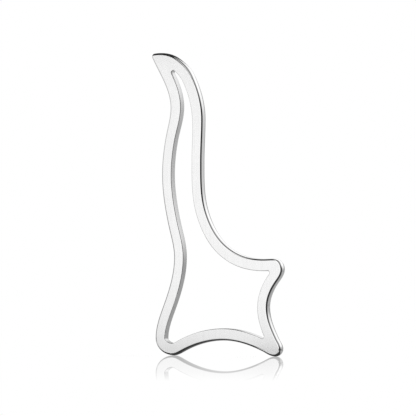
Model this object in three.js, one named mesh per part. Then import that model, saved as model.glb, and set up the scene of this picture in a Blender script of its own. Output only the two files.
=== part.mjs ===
// French curve: an open drawing template, cut in one piece from stainless steel plate.
// It stands on its two feet, in millimetres: +Z up, front face towards -Y, origin midway under it.
import * as THREE from 'three';

// Driving dimensions
const PLATE_THICKNESS = 6;
const BAND_WIDTH = 8;       // from the outline to the opening, across the arch and the shelf
const UPRIGHT_WIDTH = 7.3;  // the same across the upright members, which are slightly slimmer
const SLIM_BELOW = 142;     // the uprights start to widen here,
const FULL_ABOVE = 168;     // and have the full width of the band here, in the horn
const SLOT_MIDDLE = -28;    // x of the slot's upper end
const EDGE_RADIUS = 1.3;    // rounding of the plate's four rims
const CUTTER_RADIUS = 1.2;  // tightest corner that the opening can have

// Fineness of the mesh
const OUTLINE_STEP = 0.4;   // spacing of the points that the opening is worked out from
const MAX_TURN = 7;         // degrees between neighbouring sides of the solid
const MAX_SIDE = 7;         // longest side
const ROUNDING_STEPS = 3;   // facets across each rounded rim
const NEAR_ENOUGH = 0.02;   // allowance when distances are compared

// Knots of the outline, anticlockwise as seen from the front: x, z and heading in degrees from +X.
// The curve is smooth through every knot.
const OUTLINE_KNOTS = [
  [-32.5, 0, 0],        // left foot, where it touches the ground
  [-25, 2.75, 27],
  [4.5, 10.1, 0],       // crown of the bottom arch
  [32.5, 3.2, -24],
  [41, 0, 0],           // right foot, where it touches the ground
  [45.9, 5, 90],
  [43, 11.6, 117],
  [36.4, 32, 90],       // hollow of the right side
  [42.7, 48.4, 53],
  [47, 57, 90],         // knob
  [40.3, 64.2, 180],
  [33, 64, 180],        // shelf
  [19.5, 65.8, 164],
  [4.9, 73.8, 138],     // sweep from the shelf up to the neck
  [-7.8, 94.5, 109],
  [-11.2, 128, 90],     // neck
  [-10.4, 156, 90],
  [-17.9, 184.5, 117],  // back of the horn
  [-29.8, 196.8, 148],
  [-41.5, 200, 180],    // top of the horn
  [-46.1, 199.7, 190],  // tip
  [-47.6, 196.6, 296],
  [-34.3, 163.5, 270],  // hollow under the horn
  [-37.5, 145.8, 258],
  [-40.5, 119.5, 270],  // swell of the neck
  [-36, 86.5, 283],
  [-31.7, 64.8, 270],   // waist
  [-38.3, 36, 249],
  [-45.2, 11.5, 270],   // outside of the left foot
];

// The point at a distance from another one, in a direction given in degrees.
function pointAlong(point, heading, distance) {
  const angle = THREE.MathUtils.degToRad(heading);
  return new THREE.Vector2(
    point.x + distance * Math.cos(angle),
    point.y + distance * Math.sin(angle),
  );
}

// One cubic from knot to knot. Its handles are those that draw an arc when the turn is even.
function knotToKnot([startX, startZ, startHeading], [endX, endZ, endHeading]) {
  const start = new THREE.Vector2(startX, startZ);
  const end = new THREE.Vector2(endX, endZ);
  const turn = THREE.MathUtils.euclideanModulo(endHeading - startHeading + 180, 360) - 180;
  const quarterTurn = THREE.MathUtils.degToRad(turn / 4);
  const handle = start.distanceTo(end) / (3 * Math.cos(quarterTurn) ** 2);
  return new THREE.CubicBezierCurve(
    start,
    pointAlong(start, startHeading, handle),
    pointAlong(end, endHeading, -handle),
    end,
  );
}

// The whole outline as evenly spaced points.
function outlinePoints() {
  const path = new THREE.CurvePath();
  OUTLINE_KNOTS.forEach((knot, index) => {
    path.add(knotToKnot(knot, OUTLINE_KNOTS[(index + 1) % OUTLINE_KNOTS.length]));
  });
  const count = Math.round(path.getLength() / OUTLINE_STEP);
  return path.getSpacedPoints(count).slice(0, count);
}

// How far the outline is stretched sideways at a height while the opening is worked out.
function sidewaysAt(height) {
  const slim = 1 - THREE.MathUtils.smoothstep(height, SLIM_BELOW, FULL_ABOVE);
  return 1 + (BAND_WIDTH / UPRIGHT_WIDTH - 1) * slim;
}

// Each point of a closed line, with the unit vector that faces the inside.
function withInward(points) {
  return points.map((point, index) => {
    const next = points[(index + 1) % points.length];
    const previous = points[(index + points.length - 1) % points.length];
    const ahead = next.clone().sub(previous).normalize();
    return { point, inward: new THREE.Vector2(-ahead.y, ahead.x) };
  });
}

// The opening is what a round cutter clears when it keeps the band's width from the outline.
// Where its path would cross itself it dwells in the corner, and leaves an arc of its own radius.
function openingPoints(outline) {
  const reach = BAND_WIDTH + CUTTER_RADIUS;
  const stops = outline
    .map(({ point, inward }, index) => ({
      index,
      inward,
      centre: point.clone().addScaledVector(inward, reach),
    }))
    .filter(({ centre }) => outline.every(
      ({ point }) => point.distanceTo(centre) > reach - NEAR_ENOUGH,
    ));
  return stops.flatMap((stop, place) => {
    const next = stops[(place + 1) % stops.length];
    const wall = stop.centre.clone().addScaledVector(stop.inward, -CUTTER_RADIUS);
    const isCorner = (next.index - stop.index + outline.length) % outline.length > 1;
    return isCorner ? [wall, ...cornerArc(stop, next)] : [wall];
  });
}

// The arc that the cutter leaves between two stops of its path.
function cornerArc(stop, next) {
  const centre = stop.centre.clone().lerp(next.centre, 0.5);
  const startAngle = stop.inward.clone().negate().angle();
  const endAngle = next.inward.clone().negate().angle();
  const sweep = THREE.MathUtils.euclideanModulo(endAngle - startAngle, 2 * Math.PI);
  const steps = Math.ceil(THREE.MathUtils.radToDeg(sweep) / MAX_TURN);
  const arc = new THREE.EllipseCurve(
    centre.x, centre.y, CUTTER_RADIUS, CUTTER_RADIUS, startAngle, startAngle + sweep,
  );
  return arc.getPoints(steps).slice(1, -1);
}

// The opening of an outline that is stretched sideways, closed up again: it slims the uprights.
function slimOpening(outline) {
  const wide = outline.map(({ x, y }) => new THREE.Vector2(
    SLOT_MIDDLE + (x - SLOT_MIDDLE) * sidewaysAt(y),
    y,
  ));
  return openingPoints(withInward(wide)).map(({ x, y }) => new THREE.Vector2(
    SLOT_MIDDLE + (x - SLOT_MIDDLE) / sidewaysAt(y),
    y,
  ));
}

// Drops the points that a side of the solid can pass by.
function thinned(points) {
  const maxTurn = THREE.MathUtils.degToRad(MAX_TURN);
  const kept = [points[0]];
  let turn = 0;
  for (let index = 1; index < points.length; index += 1) {
    const before = points[index].clone().sub(points[index - 1]);
    const after = points[(index + 1) % points.length].clone().sub(points[index]);
    turn += Math.abs(Math.atan2(before.cross(after), before.dot(after)));
    const side = points[index].distanceTo(kept[kept.length - 1]);
    if (turn >= maxTurn || side >= MAX_SIDE) {
      kept.push(points[index]);
      turn = 0;
    }
  }
  return kept;
}

// The plate with every rim rounded, standing on its feet with its middle plane at y = 0.
function curveGeometry() {
  const outline = outlinePoints();
  const shape = new THREE.Shape(thinned(outline));
  shape.holes.push(new THREE.Path(thinned(slimOpening(outline))));
  const geometry = new THREE.ExtrudeGeometry(shape, {
    depth: PLATE_THICKNESS - 2 * EDGE_RADIUS,
    bevelThickness: EDGE_RADIUS,
    bevelSize: EDGE_RADIUS,
    bevelOffset: -EDGE_RADIUS,
    bevelSegments: ROUNDING_STEPS,
    steps: 1,
  });
  geometry.rotateX(Math.PI / 2);
  geometry.center();
  geometry.computeBoundingBox();
  geometry.translate(0, 0, -geometry.boundingBox.min.z);
  return geometry;
}

const stainlessSteel = new THREE.MeshStandardMaterial({
  color: 0xdfe1e2,
  metalness: 1,
  roughness: 0.3,
});

const curveFrame = new THREE.Mesh(curveGeometry(), stainlessSteel);
curveFrame.name = 'curve_frame';

const frenchCurve = new THREE.Group();
frenchCurve.add(curveFrame);

export default frenchCurve;
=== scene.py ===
"""A stainless steel french curve, standing on its feet on a glossy white table.

Everything is built in metres in the model's own frame: +Z up, front face towards -Y, feet at z = 0.
Some lists are written in mm, and their comments say so.
"""

import math

import bpy
import numpy as np
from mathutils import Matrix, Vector
from mathutils.geometry import tessellate_polygon


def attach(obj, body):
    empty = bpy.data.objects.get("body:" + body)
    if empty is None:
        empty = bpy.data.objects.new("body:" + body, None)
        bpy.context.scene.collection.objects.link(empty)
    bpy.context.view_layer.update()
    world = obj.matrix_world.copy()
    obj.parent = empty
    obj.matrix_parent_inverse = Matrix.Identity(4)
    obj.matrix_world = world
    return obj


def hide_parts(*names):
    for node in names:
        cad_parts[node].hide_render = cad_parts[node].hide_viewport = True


MM = 0.001

# ---------------------------------------------------------------- sizes, as in the model

PLATE_THICKNESS = 6 * MM
BAND_WIDTH = 8 * MM  # across the arch and the shelf
UPRIGHT_WIDTH = 7.3 * MM  # the band across the upright members, which are slightly slimmer
SLIM_BELOW = 142 * MM  # the uprights start to widen here,
FULL_ABOVE = 168 * MM  # and have the full width of the band here, in the horn
SLOT_MIDDLE = -28 * MM  # x of the slot's upper end
EDGE_RADIUS = 1.3 * MM
OPENING_EDGE_RADIUS = 0.5 * MM  # the opening's edges are only broken, not rounded over
CUTTER_RADIUS = 1.2 * MM  # tightest corner of the opening
CUTTER_SLACK = 0.02 * MM  # how far the cutter's centre may fall short of its distance to the outline
WALL_CROWN = 10  # degrees that buffing leaves the outer wall leaning at each side, away from flat
OPENING_CROWN = 2  # degrees that tumbling leaves the opening's wall leaning in the same way

# Knots of the outline, anticlockwise from the front: x and z in mm, heading in degrees from +X.
OUTLINE_KNOTS = [
    (-32.5, 0, 0),  # left foot, where it touches the ground
    (-25, 2.75, 27),
    (4.5, 10.1, 0),  # crown of the bottom arch
    (32.5, 3.2, -24),
    (41, 0, 0),  # right foot, where it touches the ground
    (45.9, 5, 90),
    (43, 11.6, 117),
    (36.4, 32, 90),  # hollow of the right side
    (42.7, 48.4, 53),
    (47, 57, 90),  # knob
    (40.3, 64.2, 180),
    (33, 64, 180),  # shelf
    (19.5, 65.8, 164),
    (4.9, 73.8, 138),  # sweep from the shelf up to the neck
    (-7.8, 94.5, 109),
    (-11.2, 128, 90),  # neck
    (-10.4, 156, 90),
    (-17.9, 184.5, 117),  # back of the horn
    (-29.8, 196.8, 148),
    (-41.5, 200, 180),  # top of the horn
    (-46.1, 199.7, 190),  # tip
    (-47.6, 196.6, 296),
    (-34.3, 163.5, 270),  # hollow under the horn
    (-37.5, 145.8, 258),
    (-40.5, 119.5, 270),  # swell of the neck
    (-36, 86.5, 283),
    (-31.7, 64.8, 270),  # waist
    (-38.3, 36, 249),
    (-45.2, 11.5, 270),  # outside of the left foot
]

# ---------------------------------------------------------------- fineness of the mesh

OUTLINE_STEP = 0.2 * MM  # spacing of the points that the opening is worked out from
POINTS_PER_SEGMENT = 60
OUTLINE_SIDES = 900
OPENING_SIDES = 800
CORNER_POINTS = 32
ROUNDING_STEPS = 8
WALL_STEPS = 4
TURN_WORTH = 4 * MM  # a radian of turning counts as this much length when points are shared out
SUPPORT = 0.12 * MM  # a last ring on the flat face, which keeps the rounding's shading off it

# ---------------------------------------------------------------- the outline


def shared_out(points, count, turn_worth):
    """Points along a closed line, spread evenly over its length plus what its turning is worth.

    Each point is interpolated against the running sum of both, so the points are equally far apart
    where turning is worth nothing, and closer together in the bends where it is worth something.
    """
    step = np.roll(points, -1, axis=0) - points
    heading = np.arctan2(step[:, 1], step[:, 0])
    turning = np.abs((heading - np.roll(heading, 1) + np.pi) % (2 * np.pi) - np.pi)
    worth = np.linalg.norm(step, axis=1) + turn_worth * turning
    measure = np.concatenate([[0], np.cumsum(worth)])
    closed = np.vstack([points, points[:1]])
    at = np.linspace(0, measure[-1], count, endpoint=False)
    return np.stack([np.interp(at, measure, closed[:, axis]) for axis in (0, 1)], axis=1)


def left_normals(points):
    """Unit vectors to the left of a closed line: the chord across both neighbours, turned by 90 degrees."""
    along = np.roll(points, -1, axis=0) - np.roll(points, 1, axis=0)
    along /= np.linalg.norm(along, axis=1, keepdims=True)
    return np.stack([-along[:, 1], along[:, 0]], axis=1)


def outline_line():
    """The outline as a closed line: one cubic from knot to knot along both headings.

    A cubic's handles are its chord over three times the squared cosine of a quarter of its turn,
    which draws an arc when the turn is even.
    """
    knots = np.array(OUTLINE_KNOTS, float)
    following = np.roll(knots, -1, axis=0)
    start, end = knots[:, :2] * MM, following[:, :2] * MM
    turn = np.radians((following[:, 2] - knots[:, 2] + 180) % 360 - 180)
    handle = np.linalg.norm(end - start, axis=1) / (3 * np.cos(turn / 4) ** 2)
    heading = np.radians(knots[:, 2])
    forward = np.stack([np.cos(heading), np.sin(heading)], axis=1)
    first = start + handle[:, None] * forward
    second = end - handle[:, None] * np.roll(forward, -1, axis=0)
    t = np.linspace(0, 1, POINTS_PER_SEGMENT, endpoint=False)[None, :, None]
    start, first, second, end = (p[:, None, :] for p in (start, first, second, end))
    points = (1 - t) ** 3 * start + 3 * (1 - t) ** 2 * t * first + 3 * (1 - t) * t**2 * second + t**3 * end
    points = points.reshape(-1, 2)
    points[:, 0] -= (points[:, 0].min() + points[:, 0].max()) / 2
    perimeter = np.linalg.norm(points - np.roll(points, 1, axis=0), axis=1).sum()
    return shared_out(points, round(perimeter / OUTLINE_STEP), turn_worth=0)


def sideways_at(height):
    """How far the outline is stretched sideways at a height: a smoothstep from the uprights to the horn."""
    rise = np.clip((height - SLIM_BELOW) / (FULL_ABOVE - SLIM_BELOW), 0, 1)
    slim = 1 - rise**2 * (3 - 2 * rise)
    return 1 + (BAND_WIDTH / UPRIGHT_WIDTH - 1) * slim


def opening_line(outline):
    """The opening as a closed line: what a round cutter clears at the band's width from the outline.

    The cutter's centre is each outline point moved inwards by the band and the cutter's radius.
    Only centres no nearer than that to any of the outline count. Between two runs of them the
    cutter dwells in a corner, and an arc of its own radius joins the two walls. All this is done
    on an outline that is stretched sideways, then closed up again, which slims the upright members.
    """
    outline = outline.copy()
    outline[:, 0] = SLOT_MIDDLE + (outline[:, 0] - SLOT_MIDDLE) * sideways_at(outline[:, 1])
    inward = left_normals(outline)
    reach = BAND_WIDTH + CUTTER_RADIUS
    centres = outline + inward * reach
    nearest = np.linalg.norm(centres[:, None] - outline[None], axis=2).min(axis=1)
    stops = np.flatnonzero(nearest > reach - CUTTER_SLACK)
    following = np.roll(stops, -1)
    corners = np.flatnonzero((following - stops) % len(outline) > 1)
    walls = centres - inward * CUTTER_RADIUS
    runs = np.split(walls[stops], corners + 1)
    arcs = [corner_arc(centres, inward, stops[c], following[c]) for c in corners]
    last = runs.pop()
    opening = np.vstack([line for pair in zip(runs, arcs) for line in pair] + [last])
    opening[:, 0] = SLOT_MIDDLE + (opening[:, 0] - SLOT_MIDDLE) / sideways_at(opening[:, 1])
    return opening


def corner_arc(centres, inward, before, after):
    """The arc that the cutter leaves about the middle of two stops, from one wall's side to the other's."""
    centre = (centres[before] + centres[after]) / 2
    start, end = (math.atan2(-inward[i, 1], -inward[i, 0]) for i in (before, after))
    sweep = (end - start) % (2 * math.pi)
    angle = start + sweep * np.linspace(0, 1, CORNER_POINTS + 2)[1:-1]
    return centre + CUTTER_RADIUS * np.stack([np.cos(angle), np.sin(angle)], axis=1)


# ---------------------------------------------------------------- the rim's section


def rim_section(edge_radius, crown_degrees):
    """Depth into the band and y of a rim's section, from the front face round to the back face.

    The wall is a shallow arc that leans by the crown at each side. A rounding of the edge radius
    carries on from it to the face. The back half is the front half mirrored in y = 0.
    """
    crown = math.radians(crown_degrees)
    lean = math.pi / 2 - crown
    wall_radius = (PLATE_THICKNESS / 2 - edge_radius * (1 - math.cos(lean))) / math.sin(crown)
    side = crown * np.linspace(1, 0, WALL_STEPS + 1)
    wall = np.stack([wall_radius * (1 - np.cos(side)), -wall_radius * np.sin(side)], axis=1)
    centre = wall[0] + edge_radius * np.array([math.sin(lean), math.cos(lean)])
    turn = lean * np.linspace(0, 1, ROUNDING_STEPS + 1)[:-1]
    rounding = centre - edge_radius * np.stack([np.sin(turn), np.cos(turn)], axis=1)
    support = rounding[:1] + np.array([[SUPPORT, 0]])
    front = np.vstack([support, rounding, wall])
    back = front[-2::-1] * np.array([1, -1])
    return np.vstack([front, back])


# ---------------------------------------------------------------- the mesh

FACE, RIM, OPENING_WALL = range(3)  # material slots


def rim_surface(line, into_band, section):
    """Vertices of a rim: the section carried along a closed line, its depth measured into the band."""
    depth, y = section[:, 0], section[:, 1]
    flat = line[:, None, :] + into_band[:, None, :] * depth[None, :, None]
    return np.stack([flat[..., 0], np.broadcast_to(y, flat.shape[:2]), flat[..., 1]], axis=2)


def grid_quads(sides, rows, first, flip):
    """Quads of a grid whose columns close on themselves and whose rows run from face to face."""
    column, row = np.meshgrid(np.arange(sides), np.arange(rows - 1), indexing="ij")
    following = (column + 1) % sides
    near, far = column * rows + row, following * rows + row
    quads = np.stack([near, near + 1, far + 1, far], axis=2).reshape(-1, 4) + first
    return quads[:, ::-1] if flip else quads


def face_triangles(outer, inner, outer_ids, inner_ids):
    """Triangles that fill a face between its two rings. Those that face the back are turned over."""
    rings = [np.insert(ring, 2, 0, axis=1).tolist() for ring in (outer, inner[::-1])]
    ids = np.concatenate([outer_ids, inner_ids[::-1]])
    corners = np.vstack([outer, inner[::-1]])
    triangles = np.array(tessellate_polygon(rings))
    a, b, c = (corners[triangles[:, i]] for i in range(3))
    area = (b[:, 0] - a[:, 0]) * (c[:, 1] - a[:, 1]) - (b[:, 1] - a[:, 1]) * (c[:, 0] - a[:, 0])
    triangles[area < 0] = triangles[area < 0][:, ::-1]
    return ids[triangles]


def make_curve():
    """The plate: two rims, and two faces that fill the space between the rims' first and last rings.

    The back face is the front face's triangles turned over and moved to the rims' last rings.
    """
    outline = outline_line()
    outer = shared_out(outline, OUTLINE_SIDES, TURN_WORTH)
    inner = shared_out(opening_line(outline), OPENING_SIDES, TURN_WORTH)
    outer_section = rim_section(EDGE_RADIUS, WALL_CROWN)
    inner_section = rim_section(OPENING_EDGE_RADIUS, OPENING_CROWN)
    rows = len(outer_section)
    outer_rim = rim_surface(outer, left_normals(outer), outer_section)
    inner_rim = rim_surface(inner, -left_normals(inner), inner_section)
    vertices = np.vstack([outer_rim.reshape(-1, 3), inner_rim.reshape(-1, 3)])

    outer_start = np.arange(OUTLINE_SIDES) * rows
    inner_start = np.arange(OPENING_SIDES) * rows + OUTLINE_SIDES * rows
    front = face_triangles(outer_rim[:, 0, ::2], inner_rim[:, 0, ::2], outer_start, inner_start)
    back = front[:, ::-1] + rows - 1
    outer_quads = grid_quads(OUTLINE_SIDES, rows, 0, flip=False)
    inner_quads = grid_quads(OPENING_SIDES, rows, OUTLINE_SIDES * rows, flip=True)

    mesh = bpy.data.meshes.new("open_curve")
    faces = [*front.tolist(), *back.tolist(), *outer_quads.tolist(), *inner_quads.tolist()]
    mesh.from_pydata(vertices.tolist(), [], faces)
    counts = (len(front) + len(back), len(outer_quads), len(inner_quads))
    slots = np.repeat([FACE, RIM, OPENING_WALL], counts)
    rim_row = np.tile(np.arange(rows - 1), OUTLINE_SIDES + OPENING_SIDES)
    from_face = np.minimum(rim_row, rows - 2 - rim_row)
    rim_slots = slots[counts[0]:]
    rim_slots[from_face <= ROUNDING_STEPS] = RIM  # the broken edges of both rims are buffed
    rim_slots[from_face == 0] = FACE  # a rim's first row of quads still lies on the flat face
    mesh.polygons.foreach_set("material_index", slots.astype(np.int32))
    mesh.polygons.foreach_set("use_smooth", np.ones(len(slots), bool))
    mesh.update()
    curve = bpy.data.objects.new("open_curve", mesh)
    bpy.context.scene.collection.objects.link(curve)
    return curve


# ---------------------------------------------------------------- materials

MICRON = 0.001 * MM
NOISE_FALL = 0.6  # the strength of each finer octave of a noise, against the one before


def linear(hex_colour):
    """An sRGB hex colour as linear red, green, blue and full alpha."""
    channels = [int(hex_colour[i : i + 2], 16) / 255 for i in (0, 2, 4)]
    return [c / 12.92 if c <= 0.04045 else ((c + 0.055) / 1.055) ** 2.4 for c in channels] + [1.0]


def add(tree, kind, *values, output=0, **named):
    """Adds a shader node and gives one of its outputs, where it has any, by number or by name.

    The values fill its inputs in order. A name that starts with a capital is an input too, _6 is input
    number 6, and any other name is a setting of the node. A value that is a node's output is linked.
    """
    node = tree.nodes.new("ShaderNode" + kind)
    inputs = dict(enumerate(values))
    for name, value in named.items():
        if name[0].islower():
            setattr(node, name, value)
        else:
            inputs[int(name[1:]) if name[0] == "_" else name.replace("_", " ")] = value
    for key, value in inputs.items():
        if isinstance(value, bpy.types.NodeSocket):
            tree.links.new(value, node.inputs[key])
        else:
            node.inputs[key].default_value = value
    return node.outputs[output] if node.outputs else None


def empty_material(name):
    """A material with no nodes yet, and its tree."""
    material = bpy.data.materials.new(name)
    material.use_nodes = True
    material.node_tree.nodes.clear()
    return material, material.node_tree


def grain(tree, size, detail, low, high, turned=0):
    """Noise whose grains measure so many mm along x, y and z, spread from 0 at its low to 1 at its high.

    The position is first turned by so many degrees about y, then divided by the grains' size.
    """
    place = add(tree, "TexCoord", output="Object")
    if turned:
        place = add(tree, "Mapping", place, vector_type="POINT", Rotation=(0.0, math.radians(turned), 0.0))
    cells = tuple(1 / (length * MM) for length in size)
    place = add(tree, "VectorMath", place, cells, operation="MULTIPLY")
    noise = add(tree, "TexNoise", Vector=place, Scale=1.0, Detail=detail, Roughness=NOISE_FALL)
    return add(tree, "MapRange", noise, From_Min=low, From_Max=high)


def stainless(name, colour, roughness, height, depth):
    """A stainless steel from functions that give its colour, roughness and surface height in a tree."""
    material, tree = empty_material(name)
    bump = add(tree, "Bump", Strength=1.0, Distance=depth, Height=height(tree))
    surface = add(
        tree, "BsdfPrincipled",
        Base_Color=colour(tree), Metallic=1.0, Roughness=roughness(tree), Normal=bump,
    )
    add(tree, "OutputMaterial", Surface=surface)
    return material


def belt_ground_stainless():
    """The faces: 304 plate, ground on a fine belt from foot to horn and then wiped with a polishing pad.

    It gives a pale, even satin with upright hairlines, duller clouds where the pad pressed less, and
    a few brighter handling scratches. The grit leaves lines 0.05 mm apart, too fine to show, so they
    are drawn 0.6 mm apart.
    """
    def hairlines(tree):
        return grain(tree, (0.6, 4, 30), detail=3.0, low=0.3, high=0.7)

    def clouds(tree):
        return grain(tree, (22, 22, 34), detail=2.0, low=0.3, high=0.7)

    def scratches(tree):
        """1 on a scratch: only the crests of long, narrow grains, which lie in three directions."""
        first, second, third = (
            grain(tree, (0.3, 20, 9), detail=0.0, low=0.72, high=0.8, turned=degrees)
            for degrees in (24, -52, 78)
        )
        either = add(tree, "Math", first, second, operation="MAXIMUM")
        return add(tree, "Math", either, third, operation="MAXIMUM")

    def colour(tree):
        dark, light, bright = linear("e1e1e1"), linear("ebebeb"), linear("f2f2f2")
        satin = add(tree, "Mix", hairlines(tree), data_type="RGBA", _6=dark, _7=light, output=2)
        half = add(tree, "Math", scratches(tree), 0.5, operation="MULTIPLY")
        return add(tree, "Mix", half, data_type="RGBA", _6=satin, _7=bright, output=2)

    def roughness(tree):
        fine = add(tree, "MapRange", hairlines(tree), To_Min=0.16, To_Max=0.22)
        broad = add(tree, "MapRange", clouds(tree), To_Min=-0.03, To_Max=0.03)
        return add(tree, "Math", fine, broad, operation="ADD")

    def height(tree):
        return add(tree, "Math", hairlines(tree), scratches(tree), operation="SUBTRACT")

    return stainless("304_stainless_belt_ground", colour, roughness, height, 0.8 * MICRON)


def buffed_stainless():
    """The outer rim and the broken edges: 304 plate brought to a mirror on a sewn cotton wheel.

    It reflects the room almost sharply. The wheel leaves a slight ripple from hand to hand and faint
    lines along the edge. The lines are 0.03 mm apart, too fine to show, so they are drawn 0.5 mm apart.
    """
    def wheel_lines(tree):
        return grain(tree, (14, 0.5, 14), detail=2.0, low=0.3, high=0.7)

    def ripple(tree):
        return grain(tree, (11, 6, 11), detail=1.0, low=0.2, high=0.8)

    def worn(tree):
        return grain(tree, (5, 3, 5), detail=3.0, low=0.4, high=0.75)

    def colour(tree):
        dark, light = linear("e3e3e3"), linear("e9e9e9")
        return add(tree, "Mix", wheel_lines(tree), data_type="RGBA", _6=dark, _7=light, output=2)

    def roughness(tree):
        fine = add(tree, "MapRange", wheel_lines(tree), To_Min=0.05, To_Max=0.08)
        broad = add(tree, "MapRange", worn(tree), To_Min=0.0, To_Max=0.05)
        return add(tree, "Math", fine, broad, operation="ADD")

    def height(tree):
        shallow_lines = add(tree, "Math", wheel_lines(tree), 0.08, operation="MULTIPLY")
        return add(tree, "Math", ripple(tree), shallow_lines, operation="ADD")

    return stainless("304_stainless_wheel_buffed", colour, roughness, height, 9 * MICRON)


def tumbled_stainless():
    """The opening's wall: left as the laser cut it, then tumbled with ceramic chips, as no wheel fits in.

    It stays a shade darker and duller than the rim, with soft ribs across the plate's thickness. The
    cut leaves a rib every 0.25 mm, too fine to show, so they are drawn 0.7 mm apart.
    """
    def ribs(tree):
        return grain(tree, (0.7, 9, 0.7), detail=1.0, low=0.3, high=0.7)

    def peened(tree):
        return grain(tree, (1.6, 1.6, 1.6), detail=3.0, low=0.3, high=0.7)

    def colour(tree):
        worked = add(tree, "Math", ribs(tree), peened(tree), operation="MULTIPLY")
        dark, light = linear("d1d1d1"), linear("dbdbdb")
        return add(tree, "Mix", worked, data_type="RGBA", _6=dark, _7=light, output=2)

    def roughness(tree):
        coarse = add(tree, "MapRange", ribs(tree), To_Min=0.22, To_Max=0.27)
        fine = add(tree, "MapRange", peened(tree), To_Min=-0.02, To_Max=0.03)
        return add(tree, "Math", coarse, fine, operation="ADD")

    def height(tree):
        return add(tree, "Math", ribs(tree), peened(tree), operation="ADD")

    return stainless("304_stainless_cut_and_tumbled", colour, roughness, height, 6 * MICRON)


# ---------------------------------------------------------------- the studio's light

# The studio as the object's metal sees it, as brightness by azimuth and by height, both in degrees.
# Azimuth is from the front, + to the right. Soft boxes fill the front and the left, and a white
# sheet hangs behind on the right.
FRONT_LIGHT_ROUND = [
    (-180, 0.0), (-160, 0.35), (-140, 0.55), (-110, 0.5), (-60, 0.8), (-38, 1.08), (-20, 1.2), (0, 1.4),
    (30, 0.6), (90, 0.6), (115, 0.0), (180, 0.0),
]
FRONT_LIGHT_UP = [(-90, 0.1), (-45, 0.4), (-20, 1.0), (30, 1.0), (55, 0.6), (80, 0.08), (90, 0.08)]
BACK_SHEET_ROUND = [(-180, 1.0), (-160, 0.8), (-140, 0.0), (100, 0.0), (122, 1.0), (180, 1.0)]
BACK_SHEET_UP = [
    (-90, 0.2), (-20, 0.45), (-3, 0.72), (5, 0.82), (12, 1.1), (22, 1.35), (35, 1.1), (60, 0.35), (90, 0.08),
]

# The share of the light that each drape takes away, by azimuth and by height. A black one stands on
# the right of the front, and a low grey one straight behind.
BLACK_DRAPE = (
    [(-180, 0.0), (3, 0.0), (11, 0.96), (92, 0.96), (110, 0.0), (180, 0.0)],
    [(-90, 1.0), (10, 1.0), (35, 0.35), (90, 0.2)],
)
GREY_DRAPE = (
    [(-180, 0.6), (-160, 0.6), (-145, 0.0), (160, 0.0), (170, 0.6), (180, 0.6)],
    [(-90, 1.0), (10, 1.0), (20, 0.0), (90, 0.0)],
)


def band(tree, value, stops):
    """Brightness along a value: straight lines between (value, brightness) stops, and level past them."""
    low, high = stops[0][0], stops[-1][0]
    top = max(brightness for _, brightness in stops)
    place = add(tree, "MapRange", value, From_Min=low, From_Max=high)
    share = add(tree, "FloatCurve", Value=place)
    curve = share.node.mapping.curves[0]
    for _ in stops[2:]:
        curve.points.new(0.5, 0.5)  # every point gets its own place below
    for point, (at, brightness) in zip(curve.points, stops):
        point.location = ((at - low) / (high - low), brightness / top)
        point.handle_type = "VECTOR"
    share.node.mapping.update()
    return add(tree, "Math", share, top, operation="MULTIPLY")


def room(tree, direction, drapes):
    """Brightness of the studio in a direction: the soft boxes and the sheet, less what the drapes take."""
    part = add(tree, "SeparateXYZ", direction).node.outputs
    forward = add(tree, "Math", part["Y"], -1.0, operation="MULTIPLY")
    azimuth = add(tree, "Math", part["X"], forward, operation="ARCTAN2")
    azimuth = add(tree, "Math", azimuth, operation="DEGREES")
    height = add(tree, "Math", add(tree, "Math", part["Z"], operation="ARCSINE"), operation="DEGREES")

    def where(stops_round, stops_up):
        across, upright = band(tree, azimuth, stops_round), band(tree, height, stops_up)
        return add(tree, "Math", across, upright, operation="MULTIPLY")

    front, back = where(FRONT_LIGHT_ROUND, FRONT_LIGHT_UP), where(BACK_SHEET_ROUND, BACK_SHEET_UP)
    lit = add(tree, "Math", front, back, operation="ADD")
    for drape in drapes:
        left = add(tree, "Math", 1.0, where(*drape), operation="SUBTRACT")
        lit = add(tree, "Math", lit, left, operation="MULTIPLY")
    return lit


def seen_directly(tree):
    """1 for the camera and for the table's mirror image, 0 for what the object's metal reflects."""
    path = add(tree, "LightPath").node.outputs
    return add(tree, "Math", path["Is Camera Ray"], path["Is Singular Ray"], operation="MAXIMUM")


def make_world():
    """The studio all round: plain white to the camera, and its boxes, sheet and drapes to the metal."""
    world = bpy.data.worlds.new("studio")
    bpy.context.scene.world = world
    world.use_nodes = True
    tree = world.node_tree
    tree.nodes.clear()
    direction = add(tree, "TexCoord", output="Generated")
    lit = room(tree, direction, [BLACK_DRAPE, GREY_DRAPE])
    strength = add(tree, "Mix", seen_directly(tree), data_type="FLOAT", A=lit, B=1.0)
    background = add(tree, "Background", Color=(1, 1, 1, 1), Strength=strength)
    add(tree, "OutputWorld", Surface=background)


def stage_piece(name, vertices, faces):
    """A piece of the studio, which isn't part of the object. It gives its material's tree, still empty."""
    mesh = bpy.data.meshes.new(name)
    mesh.from_pydata(vertices, [], faces)
    piece = bpy.data.objects.new(name, mesh)
    bpy.context.scene.collection.objects.link(piece)
    material, tree = empty_material(name)
    mesh.materials.append(material)
    return tree


# ---------------------------------------------------------------- the table

# The table as the metal sees it: its share of the room's light, by mm from the object's footprint. The small
# shares near the footprint paint the object's shadow on the table.
TABLE_IN_FRONT = [(0, 0.0), (16, 0.03), (36, 0.48), (70, 0.68), (200, 0.72), (500, 0.95), (3000, 1.0)]
TABLE_BEHIND = [(0, 0.2), (12, 0.35), (60, 0.6), (600, 0.9), (3000, 1.0)]
TABLE_DARKEST = 0.045  # brightness in the painted shadow, however small the share
# The table as the camera sees it: how much of it mirrors, by the same mm. The rest is plain white.
TABLE_GLOSS = [(0, 0.55), (250, 0.46), (370, 0.36), (530, 0.0), (700, 0.0)]
TABLE_RADIUS = 3.0
TABLE_SIDES = 96
FOOTPRINT_HALF = 45.0  # mm from the middle to the outside of either foot


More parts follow.
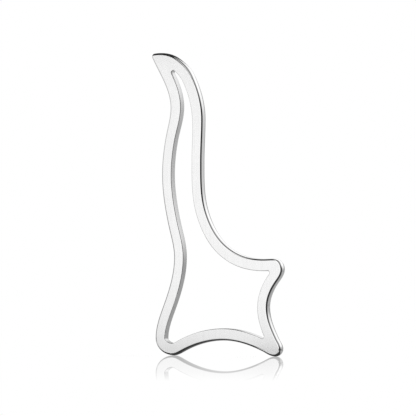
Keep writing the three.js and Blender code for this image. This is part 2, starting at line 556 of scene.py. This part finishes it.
def make_table():
    """A glossy white table: white and part mirror to the camera, and a lit surface to the metal.

    The footprint is a straight line from foot to foot. A point of the table has the room's light from
    the direction in which it lies, times its share by how far from the footprint it is. This paints the
    object's shadow on the table, darkest at the footprint.
    """
    angle = np.linspace(0, 2 * np.pi, TABLE_SIDES, endpoint=False)
    ring = TABLE_RADIUS * np.stack([np.cos(angle), np.sin(angle), 0 * angle], axis=1)
    tree = stage_piece("gloss_white_table", ring.tolist(), [list(range(TABLE_SIDES))])
    place = add(tree, "TexCoord", output="Object")
    in_mm = add(tree, "VectorMath", place, operation="SCALE", Scale=1 / MM)
    part = add(tree, "SeparateXYZ", in_mm).node.outputs
    aside = add(tree, "Math", part["X"], operation="ABSOLUTE")
    beside = add(tree, "Math", aside, FOOTPRINT_HALF, operation="SUBTRACT")
    beside = add(tree, "Math", beside, 0.0, operation="MAXIMUM")
    away = add(tree, "CombineXYZ", X=beside, Y=part["Y"])
    away = add(tree, "VectorMath", away, operation="LENGTH", output="Value")
    half = PLATE_THICKNESS / 2 / MM
    behind = add(tree, "MapRange", part["Y"], From_Min=-half, From_Max=half)
    front_share, back_share = band(tree, away, TABLE_IN_FRONT), band(tree, away, TABLE_BEHIND)
    share = add(tree, "Mix", behind, data_type="FLOAT", A=front_share, B=back_share)
    above = room(tree, add(tree, "VectorMath", place, operation="NORMALIZE"), [BLACK_DRAPE])
    # painted shadow: the room's light times the share, which is smallest at the footprint
    level = add(tree, "Math", share, above, operation="MULTIPLY")
    level = add(tree, "Math", level, TABLE_DARKEST, operation="MAXIMUM")
    reflected = add(tree, "Emission", Strength=level)
    white = add(tree, "Emission", Strength=1.0)
    mirror = add(tree, "BsdfGlossy", Roughness=0.0, Color=(1, 1, 1, 1))
    seen = add(tree, "MixShader", band(tree, away, TABLE_GLOSS), white, mirror)
    camera_ray = add(tree, "LightPath", output="Is Camera Ray")
    add(tree, "OutputMaterial", Surface=add(tree, "MixShader", camera_ray, reflected, seen))


# ---------------------------------------------------------------- cards and nets

# Level cards: left, right, front, back and height in mm, and brightness. The canopy is a black cloth
# held just over the object, which darkens the top edges, most of all the horn's. The others lie on
# the table round the feet, and lift the faces and the right foot's corner off the dark table.
CARDS = {
    "black_canopy": (-200, -30, -360, 130, 238, 0.03),
    "right_back_card": (38, 58, 2.5, 20, 0.2, 0.5),
    "right_front_card": (22, 50, -45, -8, 0.2, 0.75),
    "left_front_card": (-90, -36, -45, -8, 0.2, 0.85),
}

# Dark grey nets: radius in mm, azimuths of the two ends, and how much is covered, by height in mm.
NETS = {
    "left_net": (150, 195, 300, [(0, 0.62), (60, 0.54), (90, 0.36), (125, 0.15), (165, 0.0)]),
    "back_net": (300, 105, 190, [(0, 0.33), (50, 0.33), (80, 0.12), (140, 0.05), (165, 0.0)]),
}
NET_PANELS = 21
NET_LEVEL = 0.12


def finish_card(tree, level, cover):
    """A material that only the metal sees: its brightness, and how much of it is there."""
    card = add(tree, "Emission", Strength=level)
    clear = add(tree, "BsdfTransparent")
    for_metal = add(tree, "Math", 1.0, seen_directly(tree), operation="SUBTRACT")
    there = add(tree, "Math", cover, for_metal, operation="MULTIPLY")
    add(tree, "OutputMaterial", Surface=add(tree, "MixShader", there, clear, card))


def make_card(name, left, right, front, back, height, level):
    """A level card from its four sides, its height and its brightness."""
    corners = [(left, front, height), (right, front, height), (right, back, height), (left, back, height)]
    tree = stage_piece(name, (np.array(corners) * MM).tolist(), [(0, 1, 2, 3)])
    finish_card(tree, level, 1.0)


def make_net(name, radius, first_azimuth, last_azimuth, cover):
    """A net that stands on the table part of the way round the object, and thins out upwards."""
    azimuth = np.radians(np.linspace(first_azimuth, last_azimuth, NET_PANELS + 1))
    foot = radius * MM * np.stack([np.sin(azimuth), -np.cos(azimuth), 0 * azimuth], axis=1)
    top = foot + np.array([0, 0, cover[-1][0] * MM])
    left = np.arange(NET_PANELS)
    right = left + 1
    faces = np.stack([left, right, right + len(foot), left + len(foot)], axis=1)
    tree = stage_piece(name, np.vstack([foot, top]).tolist(), faces.tolist())
    part = add(tree, "SeparateXYZ", add(tree, "TexCoord", output="Object")).node.outputs
    height = add(tree, "Math", part["Z"], MM, operation="DIVIDE")
    finish_card(tree, NET_LEVEL, band(tree, height, cover))


# ---------------------------------------------------------------- camera

CAMERA_AZIMUTH = 25
CAMERA_DISTANCE = 3.765
CAMERA_REACH = 20.0  # well past the far side of the table
FOCAL_LENGTH = 494  # mm
SENSOR_WIDTH = 36  # mm
VIEW_CENTRE = Vector((-0.0074, 0, 0.0974))


def make_camera():
    """A level camera with a long lens, turned from the front towards the right."""
    data = bpy.data.cameras.new("camera")
    camera = bpy.data.objects.new("camera", data)
    bpy.context.scene.collection.objects.link(camera)
    data.lens = FOCAL_LENGTH
    data.sensor_width = SENSOR_WIDTH
    data.clip_end = CAMERA_REACH
    azimuth = math.radians(CAMERA_AZIMUTH)
    back = Vector((math.sin(azimuth), -math.cos(azimuth), 0))
    camera.location = VIEW_CENTRE + back * CAMERA_DISTANCE
    camera.rotation_euler = (math.pi / 2, 0, azimuth)
    bpy.context.scene.camera = camera


# ---------------------------------------------------------------- build

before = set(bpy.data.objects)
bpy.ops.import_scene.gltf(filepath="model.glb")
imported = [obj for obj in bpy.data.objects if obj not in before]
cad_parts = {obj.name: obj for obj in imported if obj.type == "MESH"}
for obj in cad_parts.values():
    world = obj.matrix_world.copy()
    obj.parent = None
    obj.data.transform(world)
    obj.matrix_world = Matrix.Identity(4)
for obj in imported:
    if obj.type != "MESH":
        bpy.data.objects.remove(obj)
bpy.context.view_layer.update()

make_camera()
make_world()
make_table()
for name, measures in CARDS.items():
    make_card(name, *measures)
for name, measures in NETS.items():
    make_net(name, *measures)
bpy.context.scene.view_settings.view_transform = "Standard"

curve = make_curve()
for material in (belt_ground_stainless(), buffed_stainless(), tumbled_stainless()):
    curve.data.materials.append(material)  # in the order of FACE, RIM and OPENING_WALL
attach(curve, "root")
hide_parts("curve_frame")
